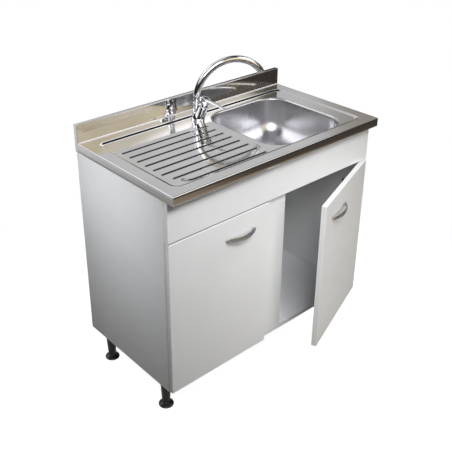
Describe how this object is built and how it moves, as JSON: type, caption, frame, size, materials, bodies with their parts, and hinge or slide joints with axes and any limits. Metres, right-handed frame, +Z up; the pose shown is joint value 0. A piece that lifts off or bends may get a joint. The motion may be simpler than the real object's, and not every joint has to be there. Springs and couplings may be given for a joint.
{
  "type": "kitchen sink unit",
  "caption": "Kitchen sink unit: pressed steel worktop with bowl, grooved drainer and upstand, swan-neck mixer tap, and a white base cabinet with hinged doors on black adjustable legs.",
  "frame": {"origin": "floor level, at the middle of the footprint that the worktop and the ajar right-hand door take up", "axes": "+X to the right as one faces the doors, +Y towards the wall behind, +Z up"},
  "size_m": [0.9, 0.6136, 1.0544],
  "materials": {
    "stainless_steel": "satin pressed stainless sheet with a fine grain",
    "polished_chrome": "mirror-bright chrome plate",
    "satin_chrome": "satin chrome plate",
    "hinge_steel": "nickel-plated pressed steel",
    "white_melamine": "white melamine-faced board, eased and edged",
    "inner_melamine": "white melamine-faced board, plain",
    "back_hardboard": "thin white-faced hardboard",
    "black_plastic": "moulded black plastic with a slight sheen",
    "white_plastic": "moulded white plastic",
    "black_rubber": "soft black rubber",
    "clear_bumper": "soft clear pad",
    "zinc_washer": "zinc-plated steel",
    "brass_fittings": "machined brass"
  },
  "bodies": {
    "cabinet": {"sink_top": "stainless_steel", "waste_flange": "stainless_steel", "waste_gasket": "black_rubber", "waste_cup": "black_plastic", "waste_tail_nut": "black_plastic", "tap_base_ring": "polished_chrome", "tap_body": "polished_chrome", "cartridge": "white_plastic", "cartridge_nut": "polished_chrome", "tap_shank": "brass_fittings", "tap_rubber_washer": "black_rubber", "tap_steel_washer": "zinc_washer", "tap_back_nut": "brass_fittings", "side_panel_left": "white_melamine", "side_panel_right": "white_melamine", "bottom_panel": "inner_melamine", "back_panel": "back_hardboard", "rear_rail": "inner_melamine", "front_rail": "inner_melamine", "centre_stile": "white_melamine", "front_fascia": "white_melamine", "bumper_left_lower": "clear_bumper", "bumper_left_upper": "clear_bumper", "bumper_right_lower": "clear_bumper", "bumper_right_upper": "clear_bumper", "hinge_plate_left_lower": "hinge_steel", "hinge_plate_left_upper": "hinge_steel", "hinge_plate_right_lower": "hinge_steel", "hinge_plate_right_upper": "hinge_steel", "hinge_arm_left_lower": "hinge_steel", "hinge_arm_left_upper": "hinge_steel", "hinge_arm_right_lower": "hinge_steel", "hinge_arm_right_upper": "hinge_steel", "leg_front_left": "black_plastic", "leg_front_right": "black_plastic", "leg_back_left": "black_plastic", "leg_back_right": "black_plastic"},
    "door_left": {"door_left": "white_melamine", "handle_left": "satin_chrome", "hinge_cup_left_lower": "hinge_steel", "hinge_cup_left_upper": "hinge_steel"},
    "door_right": {"door_right": "white_melamine", "handle_right": "satin_chrome", "hinge_cup_right_lower": "hinge_steel", "hinge_cup_right_upper": "hinge_steel"},
    "spout": {"spout": "polished_chrome", "aerator": "polished_chrome", "spout_collar": "polished_chrome"},
    "tap_spindle": {"cartridge_spindle": "brass_fittings"},
    "tap_lever": {"lever": "polished_chrome"},
    "basket": {"strainer_basket": "stainless_steel"},
    "foot_front_left": {"foot_front_left": "black_plastic"},
    "foot_front_right": {"foot_front_right": "black_plastic"},
    "foot_back_left": {"foot_back_left": "black_plastic"},
    "foot_back_right": {"foot_back_right": "black_plastic"}
  },
  "joints": [
    {"name": "door_left_hinge", "type": "hinge", "parent": "cabinet", "child": "door_left", "pos_m": [-0.447, -0.16319, 0.409], "axis": [0, 0, -1], "range_deg": [0, 95]},
    {"name": "door_right_hinge", "type": "hinge", "parent": "cabinet", "child": "door_right", "pos_m": [0.447, -0.16319, 0.409], "axis": [0, 0, 1], "range_deg": [-20.77, 74.23]},
    {"name": "spout_swivel", "type": "hinge", "parent": "cabinet", "child": "spout", "pos_m": [-0.02, 0.21881, 0.906], "axis": [0, 0, 1], "range_deg": [-150, 30]},
    {"name": "lever_turn", "type": "hinge", "parent": "cabinet", "child": "tap_spindle", "pos_m": [-0.02, 0.1889, 0.88825], "axis": [0, -0.4226, 0.9063], "range_deg": [-45, 45]},
    {"name": "lever_lift", "type": "hinge", "parent": "tap_spindle", "child": "tap_lever", "pos_m": [-0.02, 0.1775, 0.91272], "axis": [-1, 0, 0], "range_deg": [0, 22]},
    {"name": "basket_lift", "type": "slide", "parent": "cabinet", "child": "basket", "axis": [0, 0, 1], "range_m": [0, 0.03]},
    {"name": "foot_front_left_screw", "type": "slide", "parent": "cabinet", "child": "foot_front_left", "axis": [0, 0, -1], "range_m": [0, 0.02]},
    {"name": "foot_front_right_screw", "type": "slide", "parent": "cabinet", "child": "foot_front_right", "axis": [0, 0, -1], "range_m": [0, 0.02]},
    {"name": "foot_back_left_screw", "type": "slide", "parent": "cabinet", "child": "foot_back_left", "axis": [0, 0, -1], "range_m": [0, 0.02]},
    {"name": "foot_back_right_screw", "type": "slide", "parent": "cabinet", "child": "foot_back_right", "axis": [0, 0, -1], "range_m": [0, 0.02]}
  ]
}
